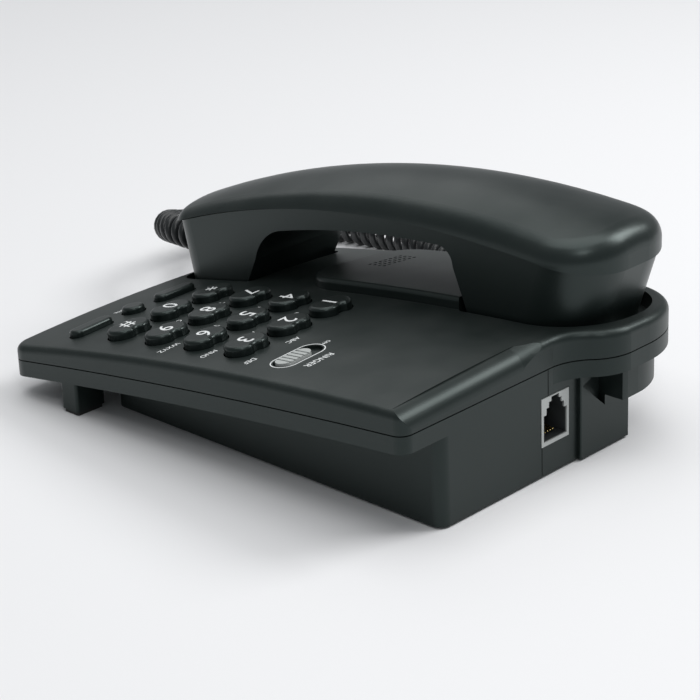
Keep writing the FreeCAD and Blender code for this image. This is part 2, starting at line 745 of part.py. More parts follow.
def lower_case():
    """The bottom of the case: a skirt under the seam, the tub and the cup's bulge."""
    top = under_split(seam_gap)
    outer = case_outline(0.0, -20, 90).common(top).cut(under_split(skirt_height))
    outer = outer.fuse(tub_block(0.0, tub_clear).common(top))
    step = plan_slab(-half_width + tub_left_inset, rear_step_x, rear_y - 12, rear_y + rear_step, 0.5, 0.5,
                     tub_clear, split_rear - skirt_height)
    outer = outer.fuse(step)
    bulge = case_outline(bulge_inset, cup_bottom, 60).common(top)
    bulge = bulge.common(box(-half_width, cup_bulge_right, bulge_front_y, 110, 0, 60))
    outer = outer.fuse(bulge)
    inner = case_outline(wall, -20, 90).cut(under_split(skirt_height - wall))
    inner = inner.fuse(tub_block(wall, tub_clear + wall))
    hollow = case_outline(bulge_inset + wall, cup_bottom + wall, 60)
    hollow = hollow.common(box(-half_width, cup_bulge_right - wall, bulge_front_y + wall, 110, 0, 60))
    inner = inner.fuse(hollow)
    shell = outer.cut(inner)
    corners = [V(rear_step_x - 0.8, rear_y - wall / 2, 25.5), V(cup_bulge_right, rear_y - wall / 2, 29.5),
               V(cup_bulge_right, rear_y - wall / 2, 15.5)]
    pocket = Part.Face(Part.makePolygon(corners + corners[:1]))
    shell = shell.cut(pocket.extrude(V(0, 30, 0)))
    shell = shell.cut(box(jack_x - jack_width / 2 - jack_clear, jack_x + jack_width / 2 + jack_clear,
                          rear_y - 10, rear_y + 10, jack_low - jack_clear, jack_high + jack_clear))
    half = hand_jack / 2 + jack_clear
    shell = shell.cut(box(tub_left_x - 1, tub_left_x + wall + 1, side_jack_y - half, side_jack_y + half,
                          side_jack_z - half, side_jack_z + half))
    for side in (-1, 1):
        shell = shell.fuse(front_foot_post(side))
    for x, y in boss_places():
        shell = shell.fuse(Part.makeCylinder(boss_size / 2, boss_low - tub_clear, V(x, y, tub_clear)))
        shell = shell.cut(Part.makeCylinder(screw_size / 2 + 0.4, 20, V(x, y, -5)))
        shell = shell.cut(Part.makeCylinder(screw_head / 2 + 0.3, screw_head_deep, V(x, y, tub_clear)))
    floor = tub_clear + wall
    for y in (board_front_y + 3, board_rear_y - 6):
        shell = shell.fuse(box(-24.0, 30.0, y, y + 2, floor - 0.5, board_z))
    return biggest(shell)


def front_foot_post(side):
    """One of the two posts that carry the front of the case."""
    x_out = side * (half_width - foot_inset)
    x_in = x_out - side * foot_width
    x0, x1 = min(x_out, x_in), max(x_out, x_in)
    top_z = split_z(foot_y) - skirt_height + 1.5
    post = plan_slab(x0, x1, foot_y - foot_length / 2, foot_y + foot_length / 2, 2.0, 1.0, foot_rubber, top_z)
    return post


def front_feet():
    """The rubber soles of the two front posts."""
    soles = []
    for side in (-1, 1):
        x_mid = side * (half_width - foot_inset - foot_width / 2)
        sole = plan_slab(x_mid - foot_width / 2 + 0.6, x_mid + foot_width / 2 - 0.6, foot_y - foot_length / 2 + 0.6,
                         foot_y + foot_length / 2 - 0.6, 1.6, 0.8, 0, foot_rubber)
        soles.append(sole)
    return Part.makeCompound(soles)


def rear_feet():
    """Two rubber pads under the rear of the tub."""
    pads = []
    for x in (-half_width + tub_left_inset + 12, half_width - tub_inset - 12):
        pads.append(Part.makeCylinder(pad_size / 2, tub_clear, V(x, rear_y - 22, 0)))
    return Part.makeCompound(pads)


def keypad_frame(shape):
    """Put a shape drawn flat at the origin under the middle of the keypad."""
    y0, y1 = bar_key_y - 6.0, key_first_y + 9.0
    x = key_columns[1]
    slope = math.degrees(math.atan2(plate_z(x, y1) - plate_z(x, y0), y1 - y0))
    shape = shape.copy()
    shape.rotate(V(0, 0, 0), V(1, 0, 0), slope)
    shape.rotate(V(0, 0, 0), V(0, 1, 0), math.degrees(math.asin(x / plate_across)))
    shape.translate(V(x, (y0 + y1) / 2, (plate_z(x, y0) + plate_z(x, y1)) / 2 - keypad_drop))
    return shape


def keypad_mat():
    """The rubber sheet under the keys, with a dome for each key."""
    long_y = key_first_y - bar_key_y + 15.0
    wide = key_columns[2] - key_columns[0] + key_length + 2.0
    sheet = box(-wide / 2, wide / 2, -long_y / 2, long_y / 2, 0, keypad_mat_thick)
    sheet = keypad_frame(sheet)
    for x, y in boss_places():
        sheet = sheet.cut(Part.makeCylinder(boss_size / 2 + 0.6, 60, V(x, y, 0)))
    places = [(x, y) for name, x, y in key_places()] + [(x, y) for name, plan, x, y in function_keys()]
    for x, y in places:
        high = -wall - key_gap - key_flange - key_travel - dome_clear
        dome = Part.makeCone(4.2, 3.0, 1.6, V(0, 0, high - 1.6))
        dome = dome.fuse(Part.makeCylinder(4.2, 4.4, V(0, 0, high - 6.0)))
        sheet = sheet.fuse(on_plate(dome, x, y))
    under = keypad_frame(box(-80, 80, -80, 80, -20, 0))
    return biggest(sheet.cut(under))


def keypad_board():
    """The circuit board that the rubber sheet lies on."""
    wide, long_y = keypad_board_size()
    board = keypad_frame(box(-wide / 2, wide / 2, -long_y / 2, long_y / 2, -keypad_board_thick - 0.05, -0.05))
    for x, y in boss_places():
        board = board.cut(Part.makeCylinder(boss_size / 2 + 0.6, 60, V(x, y, 0)))
    return biggest(board)


def main_board():
    """The board behind the keypad that carries the line parts."""
    right = half_width - tub_inset - wall - 2.0
    board = box(tub_left_x + wall + 1.0, right, board_front_y, board_rear_y, board_z, board_z + board_thick)
    for x, y in boss_places():
        board = board.cut(Part.makeCylinder(boss_size / 2 + 0.6, 20, V(x, y, board_z - 5)))
    return biggest(board)


def board_parts():
    """A transformer, a relay, two capacitors and a chip on the main board."""
    z = board_z + board_thick
    transformer = box(22, 38, 26, 40, z, z + 11)
    relay = box(4, 14, 24, 40, z, z + 9)
    chip = box(-14, -2, 54, 62, z, z + 2.4)
    tall = Part.makeCylinder(4.0, 10.5, V(26, 58, z))
    small = Part.makeCylinder(3.0, 8.0, V(14, 60, z))
    return Part.makeCompound([transformer, relay, chip, tall, small])


def ringer_speaker():
    """The sounder under the hump: a magnet cup behind a shallow cone frame."""
    half = speaker_size / 2
    high = -wall - 0.1
    rim = Part.makeCylinder(half, 1.0, V(0, 0, high - 1.0))
    frame = Part.makeCone(half - 4.0, half - 1.0, 4.0, V(0, 0, high - 5.0))
    magnet = Part.makeCylinder(half - 6.0, 4.0, V(0, 0, high - 9.0))
    return on_plate(rim.fuse(frame).fuse(magnet).removeSplitter(), speaker_x, speaker_y)


def ringer_slider():
    """The ribbed slider of the ringer switch, at its right-hand stop."""
    rest = slider_travel / 2
    knob = oval_plan(slider_length, slider_depth, -ringer_recess + 0.1, slider_rise)
    for i in range(slider_ribs):
        x = (i - (slider_ribs - 1) / 2) * slider_rib_pitch
        knob = knob.cut(box(x - 0.35, x + 0.35, -slider_depth, slider_depth, slider_rise - 0.6, slider_rise + 1))
    stem = box(-2.2, 2.2, -1.2, 1.2, -wall - 3.4, -ringer_recess + 0.2)
    shape = knob.fuse(stem)
    shape.translate(V(rest, 0, 0))
    return on_plate(shape, ringer_x, ringer_y)


def ringer_switch():
    """The slide switch under the plate that the slider's stem works."""
    body = box(-8.0, 8.0, -3.6, 3.6, -wall - 7.4, -wall - 0.3)
    groove = box(-2.2 - slider_travel / 2 - 0.4, 2.2 + slider_travel / 2 + 0.4, -1.6, 1.6, -wall - 3.9, 1)
    return on_plate(body.cut(groove), ringer_x, ringer_y)


def line_jack():
    """The grey socket for the line cord, open to the rear in steps."""
    y0, y1 = rear_y + jack_out - jack_deep, rear_y + jack_out
    shape = box(jack_x - jack_width / 2, jack_x + jack_width / 2, y0, y1, jack_low, jack_high)
    sill = jack_low + jack_sill
    for wide, high in jack_steps:
        shape = shape.cut(box(jack_x - wide / 2, jack_x + wide / 2, y0 + jack_back, y1 + 1, sill, sill + high))
    return shape.removeSplitter()


def line_jack_contacts():
    """Four bent contact wires in the line socket."""
    low = jack_low + jack_sill + wire_rise
    back = rear_y + jack_out - jack_deep + jack_back
    knee_y = rear_y - wire_back
    wires = []
    for i in range(4):
        knee = V(jack_x + (i - 1.5) * wire_pitch, knee_y, low)
        run = Part.makeCylinder(wire_size / 2, knee_y - back, V(knee.x, back, low), V(0, 1, 0))
        slope = Part.makeCylinder(wire_size / 2, knee_y - back - 1, knee, V(0, -0.97, 0.24))
        wires.append(run.fuse(slope).fuse(Part.makeSphere(wire_size / 2, knee)))
    return Part.makeCompound(wires)


def handset_socket(depth):
    """A small socket drawn opening to +Y at the origin."""
    half = hand_jack / 2
    body = box(-half, half, -depth, 0, -half, half)
    hole = box(-half + 1.3, half - 1.3, -depth + 1.4, 1, -half + 1.6, half - 2.6)
    latch = box(-1.7, 1.7, -depth + 1.4, 1, half - 2.8, half - 1.2)
    return body.cut(hole).cut(latch)


def base_cord_jack():
    """The socket for the handset cord, in the left side of the case."""
    shape = handset_socket(hand_jack_deep)
    shape.rotate(V(0, 0, 0), V(0, 0, 1), 90)
    shape.translate(V(tub_left_x, side_jack_y, side_jack_z))
    return shape


def handset_cord_jack():
    """The socket for the cord, in the front of the handset."""
    shape = handset_socket(hand_jack_deep)
    shape.rotate(V(0, 0, 0), V(0, 0, 1), 180)
    shape.translate(V(handset_x, nose_jack_y, hand_jack_z))
    return shape


def plug():
    """A clear modular plug, drawn with its cord end at the origin and its tongue to -Y."""
    half = hand_jack / 2
    body = box(-half + 1.5, half - 1.5, -plug_length, 0, -half + 1.8, half - 2.8)
    tab = box(-1.3, 1.3, -plug_length + 2.0, -1.0, half - 3.0, half - 1.6)
    return body.fuse(tab).removeSplitter()


def handset_plug():
    shape = plug()
    shape.rotate(V(0, 0, 0), V(0, 0, 1), 180)
    shape.translate(V(handset_x, nose_plug_y, hand_jack_z))
    return shape


def base_plug():
    shape = plug()
    shape.rotate(V(0, 0, 0), V(0, 0, 1), 90)
    shape.translate(V(tub_left_x - plug_out, side_jack_y, side_jack_z))
    return shape


def hook_plunger():
    """The button in the ear cup that the handset holds down."""
    low = ear_cap_low - well_clear - plunger_reach
    stem = Part.makeCylinder(plunger_size / 2, ear_cap_low - plunger_gap - low, V(plunger_x, plunger_y, low))
    rim = [e for e in stem.Edges if e.BoundBox.ZMin > low + 1]
    stem = stem.makeFillet(1.2, rim)
    collar_ring = Part.makeCylinder(plunger_size / 2 + 1.2, 1.5, V(plunger_x, plunger_y, low))
    return stem.fuse(collar_ring).removeSplitter()


def hook_switch():
    """The switch under the plunger."""
    high = ear_cap_low - well_clear - plunger_reach - 0.2
    return box(plunger_x - 5.5, plunger_x + 5.5, plunger_y - 3.5, plunger_y + 3.5, board_z + board_thick, high)


def case_screws():
    screws = []
    seat = tub_clear + screw_head_deep
    for x, y in boss_places():
        shank = Part.makeCylinder(screw_size / 2, screw_length, V(x, y, seat))
        head = Part.makeCylinder(screw_head / 2, screw_head_high, V(x, y, seat - screw_head_high))
        slot = box(x - 0.4, x + 0.4, y - 1.9, y + 1.9, tub_clear, seat - screw_head_high / 2)
        cross = box(x - 1.9, x + 1.9, y - 0.4, y + 0.4, tub_clear, seat - screw_head_high / 2)
        screws.append(biggest(shank.fuse(head).cut(slot).cut(cross)))
    return Part.makeCompound(screws)


def base_weight():
    """The steel plate that keeps the telephone down, on the tub's floor."""
    z = tub_clear + wall + 0.05
    y = tub_front_y + 16.0
    return box(tub_middle_x - weight_width / 2, tub_middle_x + weight_width / 2, y, y + weight_length,
               z, z + weight_thick)


def earpiece():
    """The receiver capsule in the handset's ear end."""
    z = ear_cap_low + handset_wall
    radius = ear_cap_radius - handset_wall - 0.3
    rim = Part.makeCylinder(radius, 3.0, V(handset_x, ear_centre_y, z))
    back = Part.makeCylinder(radius - 4.0, 6.0, V(handset_x, ear_centre_y, z + 3.0))
    return rim.fuse(back).removeSplitter()


def microphone():
    """The microphone capsule in its rubber boot, in the handset's front end."""
    return Part.makeCylinder(mic_size / 2, mic_high, V(handset_x, mic_place_y, mic_seat_z + mic_high - 6.0))


def handset_weight():
    """A steel bar in the handset's grip that gives it its heft."""
    return box(*handset_weight_place(0.0))


def handset_screws():
    z = ear_bottom + 0.6
    screws = []
    for side in (-1, 1):
        x = handset_x + side * handset_post_side
        shank = Part.makeCylinder(handset_screw / 2, 10.0, V(x, handset_post_y, z))
        head = Part.makeCylinder(handset_screw - 0.2, 1.4, V(x, handset_post_y, z))
        slot = box(x - 0.3, x + 0.3, handset_post_y - 1.5, handset_post_y + 1.5, z - 1, z + 0.6)
        screws.append(biggest(shank.fuse(head).cut(slot)))
    return Part.makeCompound(screws)


# Handset cord: the middle line of the coil, set by hand
cord_route = [
    (handset_x, nose_plug_y, hand_jack_z),
    (handset_x, nose_plug_y - 12.8, hand_jack_z),
    (-37.5, -124.0, 26.5),
    (-46.0, -137.5, 22.0),
    (-59.0, -146.5, 16.5),
    (-76.0, -149.5, 11.5),
    (-93.0, -146.0, 8.0),
    (-108.0, -135.5, cord_low),
    (-118.0, -119.0, cord_low),
    (-122.5, -98.0, cord_low),
    (-122.0, -74.5, cord_low),
    (-116.0, -51.5, cord_low),
    (-104.5, -30.5, cord_low + 0.4),
    (-88.5, -12.5, 8.2),
    (-70.0, 0.5, 10.4),
    (-54.0, side_jack_y, side_jack_z),
    (tub_left_x - plug_out, side_jack_y, side_jack_z),
]


def route_arcs(points):
    """Straight runs and the largest arcs between them, as a list of pieces."""
    points = [V(*p) for p in points]
    pieces = []
    at = points[0]
    radii = []
    for before, corner, after in zip(points, points[1:], points[2:]):
        a, b = (before - corner), (after - corner)
        run = min(a.Length, b.Length)
        a.normalize()
        b.normalize()
        turn = math.pi - a.getAngle(b)
        reach = 0.45 * run
        radius = reach / math.tan(turn / 2)
        radii.append(radius)
        start, end = corner + a * reach, corner + b * reach
        inward = a + b
        inward.normalize()
        centre_gap = radius / math.cos(turn / 2)
        middle = corner + inward * (centre_gap - radius)
        pieces.append((at, start, None))
        pieces.append((start, end, middle))
        at = end
    pieces.append((at, points[-1], None))
    print("cord arc radii", [round(r, 1) for r in radii])
    return pieces


def route_wire(pieces):
    edges = []
    for start, end, middle in pieces:
        if middle is None:
            edges.append(Part.makeLine(start, end))
        else:
            edges.append(arc_line([start, middle, end]))
    return Part.Wire(edges)


def curly_cord():
    """The space of the curly cord between its two plugs, as one tube."""
    wire = route_wire(route_arcs(cord_route))
    start = V(*cord_route[0])
    ring = Part.Wire([Part.Circle(start, V(0, -1, 0), cord_coil / 2).toShape()])
    solid = wire.makePipeShell([ring], True, False)
    section = math.pi * cord_coil ** 2 / 4
    print("cord length", round(wire.Length, 1), "volume check", round(solid.Volume / wire.Length / section, 4))
    return solid


def key_shapes():
    """Every key, by its node's name."""
    shapes = {}
    for name, x, y in key_places():
        shapes["key_" + name] = on_plate(key_cap(key_plan, key_rise), x, y)
    for name, plan, x, y in function_keys():
        shapes[name + "_key"] = on_plate(key_cap(plan, bar_key_rise), x, y)
    return shapes


def build_all():
    """Every piece of the telephone, by its node's name."""
    shapes = {"upper_case": upper_case(), "lower_case": lower_case()}
    shapes["front_feet"] = front_feet()
    shapes["rear_feet"] = rear_feet()
    shapes.update(key_shapes())
    shapes["keypad_mat"] = keypad_mat()
    shapes["keypad_board"] = keypad_board()
    shapes["main_board"] = main_board()
    shapes["board_parts"] = board_parts()
    shapes["ringer_speaker"] = ringer_speaker()
    shapes["ringer_slider"] = ringer_slider()
    shapes["ringer_switch"] = ringer_switch()
    shapes["line_jack"] = line_jack()
    shapes["line_jack_contacts"] = line_jack_contacts()
    shapes["base_cord_jack"] = base_cord_jack()
    shapes["hook_plunger"] = hook_plunger()
    shapes["hook_switch"] = hook_switch()
    shapes["case_screws"] = case_screws()
    shapes["base_weight"] = base_weight()
    handset_upper, handset_lower = handset_shells()
    shapes["handset_top"] = handset_upper
    shapes["handset_bottom"] = handset_lower
    shapes["earpiece"] = earpiece()
    shapes["microphone"] = microphone()
    shapes["handset_weight"] = handset_weight()
    shapes["handset_screws"] = handset_screws()
    shapes["handset_cord_jack"] = handset_cord_jack()
    shapes["handset_plug"] = handset_plug()
    shapes["base_plug"] = base_plug()
    shapes["curly_cord"] = curly_cord()
    return shapes


os.makedirs("parts", exist_ok=True)
for name, shape in build_all().items():
    shape.exportStep("parts/" + name + ".step")
    print(name, len(shape.Solids), round(shape.Volume), shape.isValid())
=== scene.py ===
import math

import bpy
from mathutils import Matrix, Vector


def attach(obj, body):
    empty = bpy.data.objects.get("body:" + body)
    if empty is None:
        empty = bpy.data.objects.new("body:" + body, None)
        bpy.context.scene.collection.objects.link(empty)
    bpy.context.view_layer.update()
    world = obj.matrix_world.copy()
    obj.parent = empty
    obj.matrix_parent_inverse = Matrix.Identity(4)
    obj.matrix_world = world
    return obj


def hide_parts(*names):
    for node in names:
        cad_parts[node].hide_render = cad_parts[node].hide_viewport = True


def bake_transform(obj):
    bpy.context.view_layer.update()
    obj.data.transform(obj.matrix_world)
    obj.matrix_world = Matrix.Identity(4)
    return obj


bl_info = {
    "name": "Corded Desk Telephone",
    "version": (1, 0, 0),
    "blender": (4, 5, 0),
    "location": "View3D > Sidebar > Telephone",
    "description": "Dresses a corded desk telephone: plastics, key print, curly cord and studio",
    "category": "Object",
}

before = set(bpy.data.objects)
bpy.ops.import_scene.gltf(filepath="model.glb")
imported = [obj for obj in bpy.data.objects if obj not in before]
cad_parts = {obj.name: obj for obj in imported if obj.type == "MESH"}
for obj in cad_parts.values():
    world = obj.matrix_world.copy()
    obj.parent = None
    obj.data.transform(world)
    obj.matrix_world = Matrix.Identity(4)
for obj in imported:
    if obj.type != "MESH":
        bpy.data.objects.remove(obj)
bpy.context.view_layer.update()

MM = 0.001

# Millimetres, in the telephone's own frame
handset_x = -34.0
half_width = 64.5
rear_y = 87.0
plate_heights = [(-97.0, 19.9), (-5.0, 36.4), (87.0, 45.4)]
plate_crown = 2.4
slope_reach = 0.5
key_columns = [8.1, 27.1, 46.1]
key_first_y = 3.5
key_pitch = 19.0
key_rise = 3.1
function_key_y = -73.5
function_word_below = 6.6
letters_beside = (7.8, 9.5)
ringer_place = (44.7, 25.0)
ringer_oval = (19.0, 8.0)
oval_grows = (1.0, 1.7)
ringer_word_above = 9.1
off_word_beside = 12.4

# Heights of some characters, as shares of the digits' or the letters' height
star_share = 0.7
function_word_share = 0.85
ringer_word_share = 1.2
off_word_share = 0.7

# Characters are drawn 10 mm high and one metre deep, and scaled from there
drawn_size = 10.0
drawn_half_depth = 0.5
letter_steps = 4
merge_distance = 0.00001
oval_steps = 24

key_faces = [("key_1", "1", ""), ("key_2", "2", "ABC"), ("key_3", "3", "DEF"),
             ("key_4", "4", "GHI"), ("key_5", "5", "JKL"), ("key_6", "6", "MNO"),
             ("key_7", "7", "PQRS"), ("key_8", "8", "TUV"), ("key_9", "9", "WXYZ"),
             ("key_star", "*", "TONE"), ("key_0", "0", "OPER"), ("key_hash", "#", "")]
function_words = ["FLASH", "MUTE", "REDIAL"]

# Each parting line of the rear wall, drawn as a near-black strip of painted shade: its name, X,
# low end and high end in millimetres
rear_seams = [("rear_seam_high", -0.7, 26.9, 35.6), ("rear_seam_low", 2.4, 1.2, 10.6)]
seam_width = 0.3
seam_depth = 0.06

# The socket's plastic has painted shade up to here and its own pale colour from there, in
# millimetres past the rear wall
socket_shade_from = -0.6
socket_shade_to = 0.15

# Linear colours that aren't settings of their own
sheen = (0.84, 1.0, 0.97)
# Painted shade: the colour painted inside the socket, where no light reaches
socket_painted_shade = (0.03, 0.034, 0.035)
rubber_black = (0.02, 0.02, 0.02)
mat_grey = (0.3, 0.31, 0.32)
board_green = (0.03, 0.16, 0.06)
parts_black = (0.04, 0.04, 0.045)
capsule_grey = (0.1, 0.1, 0.1)
steel_grey = (0.45, 0.45, 0.46)
contact_gold = (0.75, 0.56, 0.22)
plug_clear = (0.8, 0.83, 0.82)
# Painted shade: the near-black of the strips along the rear wall's parting lines
seam_painted_shade = (0.002, 0.002, 0.002)

# The share of light that the clear plugs let through
plug_transmission = 0.85

# The grain's depth in millimetres, the clouds in the gloss, and where dust settles
grain_bump = 0.1
grain_detail = 3
cloud_scale = 38
cloud_detail = 4
dust_grey = (0.3, 0.31, 0.3)
dust_scale = 55
dust_detail = 6
dust_facing = (0.2, 1.0)
dust_patches = (0.35, 0.75)

# The floor's size is in metres
floor_size = 8
floor_white = (0.8, 0.8, 0.81)
matt_roughness = 0.9
matt_specular = 0.1
world_light = (0.93, 0.97, 1.0)
world_strength = 0.27
world_shown = (0.82, 0.82, 0.81)
sensor_width = 36

# Each lamp: its name, place and size in metres, and its power
studio_lamps = [
    ("key_lamp", (-0.75, 0.55, 0.9), 0.55, 8.2),
    ("top_lamp", (0.0, 0.0, 1.3), 1.2, 9.5),
    ("window_lamp", (0.5, 0.62, 0.8), 0.22, 1.3),
    ("front_lamp", (-0.55, -1.0, 0.95), 1.0, 2.0),
]

# The cord's route and winding, in millimetres
cord_lead = 6.0
points_per_curl = 20
tangent_reach = 1.0
route_steps = 24
wire_steps = 3
cord_exit = (handset_x, -96.23, 28.0)
cord_return = (-40.3, 4.0, 12.0)
cord_route = [
    cord_exit,
    (handset_x, -109.0, 28.0),
    (-37.5, -124.0, 26.5),
    (-46.0, -137.5, 22.0),
    (-59.0, -146.5, 16.5),
    (-76.0, -149.5, 11.5),
    (-93.0, -146.0, 8.0),
    (-108.0, -135.5, 6.3),
    (-118.0, -119.0, 6.3),
    (-122.5, -98.0, 6.3),
    (-122.0, -74.5, 6.3),
    (-116.0, -51.5, 6.3),
    (-104.5, -30.5, 6.7),
    (-88.5, -12.5, 8.2),
    (-70.0, 0.5, 10.4),
    (-54.0, 4.0, 12.0),
    cord_return,
]


class PhoneColours(bpy.types.PropertyGroup):
    """Colours of the telephone's plastics and print."""

    case: bpy.props.FloatVectorProperty(
        name="Case", description="Black plastic of the base and the handset",
        subtype="COLOR", size=3, default=(0.007, 0.0105, 0.0098), min=0, max=1)
    key: bpy.props.FloatVectorProperty(
        name="Keys", description="Black plastic of the keys",
        subtype="COLOR", size=3, default=(0.006, 0.009, 0.0085), min=0, max=1)
    print: bpy.props.FloatVectorProperty(
        name="Print", description="White paint of the digits and letters",
        subtype="COLOR", size=3, default=(0.78, 0.8, 0.8), min=0, max=1)
    grey: bpy.props.FloatVectorProperty(
        name="Grey", description="Light grey plastic of the line socket and the ringer slider",
        subtype="COLOR", size=3, default=(0.42, 0.44, 0.43), min=0, max=1)
    cord: bpy.props.FloatVectorProperty(
        name="Cord", description="Jacket of the curly cord",
        subtype="COLOR", size=3, default=(0.014, 0.016, 0.017), min=0, max=1)


class PhonePrint(bpy.types.PropertyGroup):
    """Sizes of the characters on the telephone."""

    digit_height: bpy.props.FloatProperty(
        name="Digit height", description="Height of the digits on the keys",
        default=6.2 * MM, min=1 * MM, max=10 * MM, unit="LENGTH")
    letter_height: bpy.props.FloatProperty(
        name="Letter height", description="Height of the letters beside the keys",
        default=2.0 * MM, min=0.5 * MM, max=5 * MM, unit="LENGTH")
    thickness: bpy.props.FloatProperty(
        name="Thickness", description="How far the paint stands off the plastic",
        default=0.05 * MM, min=0.01 * MM, max=0.5 * MM, unit="LENGTH")


class PhoneCord(bpy.types.PropertyGroup):
    """Sizes of the curly cord."""

    wire: bpy.props.FloatProperty(
        name="Wire", description="Thickness of the cord's jacket",
        default=3.0 * MM, min=1 * MM, max=6 * MM, unit="LENGTH")
    coil: bpy.props.FloatProperty(
        name="Coil", description="Outer diameter of the curls",
        default=12.6 * MM, min=6 * MM, max=20 * MM, unit="LENGTH")
    curls: bpy.props.IntProperty(
        name="Curls", description="Number of curls", default=61, min=10, max=100)


class PhoneStudio(bpy.types.PropertyGroup):
    """The camera's place, angle and lens."""

    lens: bpy.props.FloatProperty(
        name="Lens", description="Focal length on a 36 mm wide sensor",
        default=114.28, min=20, max=300)
    azimuth: bpy.props.FloatProperty(
        name="Azimuth", description="Side from which the camera looks",
        default=math.radians(134.62), subtype="ANGLE")
    elevation: bpy.props.FloatProperty(
        name="Elevation", description="Height of the camera over the horizon",
        default=math.radians(22.27), subtype="ANGLE")
    roll: bpy.props.FloatProperty(
        name="Roll", description="Turn of the camera about its own line of sight",
        default=math.radians(-2.32), subtype="ANGLE")
    place: bpy.props.FloatVectorProperty(
        name="Place", description="Where the camera stands",
        default=(0.48397, 0.4811, 0.29946), size=3, subtype="TRANSLATION")


def plate_circle():
    """Centre and radius, in Y and Z, of the arc that the plate follows."""
    (x1, y1), (x2, y2), (x3, y3) = plate_heights
    d = 2 * (x1 * (y2 - y3) + x2 * (y3 - y1) + x3 * (y1 - y2))
    s1, s2, s3 = x1 * x1 + y1 * y1, x2 * x2 + y2 * y2, x3 * x3 + y3 * y3
    cy = (s1 * (y2 - y3) + s2 * (y3 - y1) + s3 * (y1 - y2)) / d
    cz = (s1 * (x3 - x2) + s2 * (x1 - x3) + s3 * (x2 - x1)) / d
    return cy, cz, math.hypot(x1 - cy, y1 - cz)


def plate_across():
    """Radius of the plate's slight crown across X."""
    return (half_width ** 2 + plate_crown ** 2) / (2 * plate_crown)


def plate_z(x, y):
    """Height of the plate at x and y, in millimetres."""
    cy, cz, along = plate_circle()
    across = plate_across()
    radius = along - across + math.sqrt(across ** 2 - x ** 2)
    return cz + math.sqrt(radius ** 2 - (y - cy) ** 2)


def on_plate(x, y, lift=0.0):
    """The place on the plate at x and y, in millimetres, turned with its slopes."""
    rise = plate_z(x, y + slope_reach) - plate_z(x, y - slope_reach)
    slope = math.atan2(rise, 2 * slope_reach)
    place = Matrix.Translation(Vector((x, y, plate_z(x, y))) * MM)
    place = place @ Matrix.Rotation(math.asin(x / plate_across()), 4, "Y")
    return place @ Matrix.Rotation(slope, 4, "X") @ Matrix.Translation((0, 0, lift * MM))


def key_places():
    """Each number key's node, digit, letters, and X and Y of its middle in millimetres."""
    for i, face in enumerate(key_faces):
        yield *face, key_columns[i % 3], key_first_y - key_pitch * (i // 3)


def deselect():
    """Leave edit mode and select nothing."""
    if bpy.context.object and bpy.context.object.mode != "OBJECT":
        bpy.ops.object.mode_set(mode="OBJECT")
    bpy.ops.object.select_all(action="DESELECT")


def select_only(piece):
    """Select one piece and make it the active one."""
    deselect()
    piece.select_set(True)
    bpy.context.view_layer.objects.active = piece


def settle(piece, name, place=None):
    """Name a piece, put it in place and move that place into its mesh."""
    piece.name = name
    piece.data.name = name
    if place is not None:
        piece.matrix_world = place
    select_only(piece)
    bpy.ops.object.transform_apply(location=True, rotation=True, scale=True)
    return piece


def face_outwards(piece, merge=0.0):
    """Point a piece's faces outwards, after its doubles are merged where it has any."""
    select_only(piece)
    bpy.ops.object.mode_set(mode="EDIT")
    bpy.ops.mesh.select_all(action="SELECT")
    if merge:
        bpy.ops.mesh.remove_doubles(threshold=merge)
    bpy.ops.mesh.normals_make_consistent(inside=False)
    bpy.ops.object.mode_set(mode="OBJECT")


def coat(piece, material, body):
    """Give a piece its material and the body that it rides on."""
    piece.data.materials.clear()
    piece.data.materials.append(material)
    if body:
        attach(piece, body)
    return piece


def words(text, name, height, place, material, body):
    """Painted characters, as thin solid letters standing on a surface."""
    thickness = bpy.context.scene.phone_print.thickness
    deselect()
    bpy.ops.object.text_add(location=(0, 0, 0))
    drawn = bpy.context.object.data
    drawn.body = text
    drawn.align_x = "CENTER"
    drawn.align_y = "CENTER"
    drawn.size = drawn_size * MM
    drawn.resolution_u = letter_steps
    drawn.extrude = drawn_half_depth
    bpy.ops.object.convert(target="MESH")
    piece = bpy.context.object
    xs = [v.co.x for v in piece.data.vertices]
    ys = [v.co.y for v in piece.data.vertices]
    grow = height / (max(ys) - min(ys))
    centre = Matrix.Translation((-(max(xs) + min(xs)) / 2, -(max(ys) + min(ys)) / 2, 0))
    stretch = Matrix.Diagonal((grow, grow, thickness, 1))
    piece.data.transform(stretch @ centre)
    settle(piece, name, place @ Matrix.Translation((0, 0, thickness / 2)))
    face_outwards(piece, merge_distance)
    return coat(piece, material, body)


def feed(tree, source, socket):
    """Link a socket to a source, or give it the source's value."""
    if isinstance(source, bpy.types.NodeSocket):
        tree.links.new(source, socket)
    else:
        socket.default_value = source


def noise(tree, scale, detail):
    """The value of a noise on Object coordinates."""
    place = tree.nodes.new("ShaderNodeTexCoord")
    texture = tree.nodes.new("ShaderNodeTexNoise")
    feed(tree, place.outputs["Object"], texture.inputs["Vector"])
    feed(tree, scale, texture.inputs["Scale"])
    feed(tree, detail, texture.inputs["Detail"])
    return texture.outputs["Fac"]


def reckon(tree, operation, *terms):
    """The result of a maths node, whose terms are sockets or numbers."""
    node = tree.nodes.new("ShaderNodeMath")
    node.operation = operation
    for term, socket in zip(terms, node.inputs):
        feed(tree, term, socket)
    return node.outputs[0]


def fade(tree, value, low, high):
    """A value turned into a share, from 0 at low to 1 at high."""
    node = tree.nodes.new("ShaderNodeMapRange")
    feed(tree, low, node.inputs["From Min"])
    feed(tree, high, node.inputs["From Max"])
    feed(tree, value, node.inputs["Value"])
    return node.outputs["Result"]


def one_axis(tree, vector, axis):
    """One part of a vector."""
    split = tree.nodes.new("ShaderNodeSeparateXYZ")
    feed(tree, vector, split.inputs[0])
    return split.outputs[axis]


